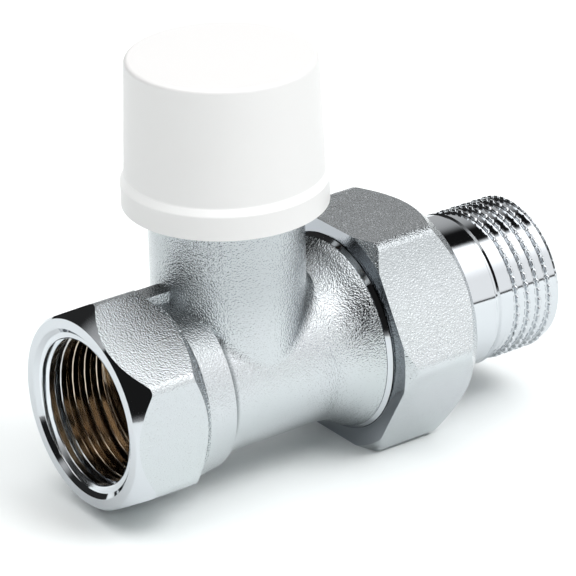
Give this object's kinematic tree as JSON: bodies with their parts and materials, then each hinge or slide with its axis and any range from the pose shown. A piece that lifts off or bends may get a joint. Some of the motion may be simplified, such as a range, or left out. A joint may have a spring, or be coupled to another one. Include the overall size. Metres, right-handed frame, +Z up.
{
  "type": "straight lockshield radiator valve",
  "caption": "Straight plated-brass radiator lockshield valve: female hexagon pipe end, capped regulating neck, union nut and threaded tailpiece.",
  "frame": {"origin": "centre of the female pipe end's face", "axes": "+X along the pipe axis towards the radiator tailpiece, +Z up along the spindle and cap"},
  "size_m": [0.0694, 0.034, 0.0574],
  "materials": {
    "plated_forging": "chrome plate over a grit-blasted brass forging",
    "plated_turned": "bright chrome plate over turned brass",
    "bare_brass": "turned brass, unplated",
    "spring_steel": "plain steel",
    "rubber_seal": "black sealing rubber",
    "fibre_gasket": "red-brown fibre sealing sheet",
    "slip_washer": "white slip plastic",
    "white_cap": "smooth white moulded plastic"
  },
  "bodies": {
    "housing": {"valve_body": "plated_forging", "headwork_bonnet": "bare_brass", "bonnet_gasket": "fibre_gasket"},
    "spindle": {"regulating_spindle": "bare_brass", "spindle_o_ring_upper": "rubber_seal", "spindle_o_ring_lower": "rubber_seal", "spindle_thrust_washer": "slip_washer", "spindle_retaining_ring": "spring_steel"},
    "shutter": {"shutter": "bare_brass", "shutter_seal": "rubber_seal", "shutter_washer": "bare_brass", "shutter_screw": "spring_steel"},
    "tail": {"tailpiece": "plated_turned", "tailpiece_o_ring": "rubber_seal"},
    "nut": {"union_nut": "plated_forging"},
    "cap": {"protective_cap": "white_cap"}
  },
  "joints": [
    {"name": "spindle_turn", "type": "hinge", "parent": "housing", "child": "spindle", "pos_m": [0.0229, 0, 0.024], "axis": [0, 0, 1], "range_deg": [0, 1440]},
    {"name": "shutter_lift", "type": "slide", "parent": "housing", "child": "shutter", "axis": [0, 0, 1], "range_m": [0, 0.004]},
    {"name": "tail_draw", "type": "slide", "parent": "housing", "child": "tail", "axis": [1, 0, 0], "range_m": [0, 0.00635]},
    {"name": "nut_turn", "type": "hinge", "parent": "tail", "child": "nut", "pos_m": [0.0457, 0, 0], "axis": [1, 0, 0], "range_deg": [0, 1260]},
    {"name": "cap_lift", "type": "slide", "parent": "housing", "child": "cap", "axis": [0, 0, 1], "range_m": [0, 0.02]}
  ],
  "couplings": [
    {"joint": "spindle_turn", "follows": "shutter_lift", "rad_per_m": 6283.2},
    {"joint": "tail_draw", "follows": "nut_turn", "m_per_rad": 0.00028871}
  ]
}
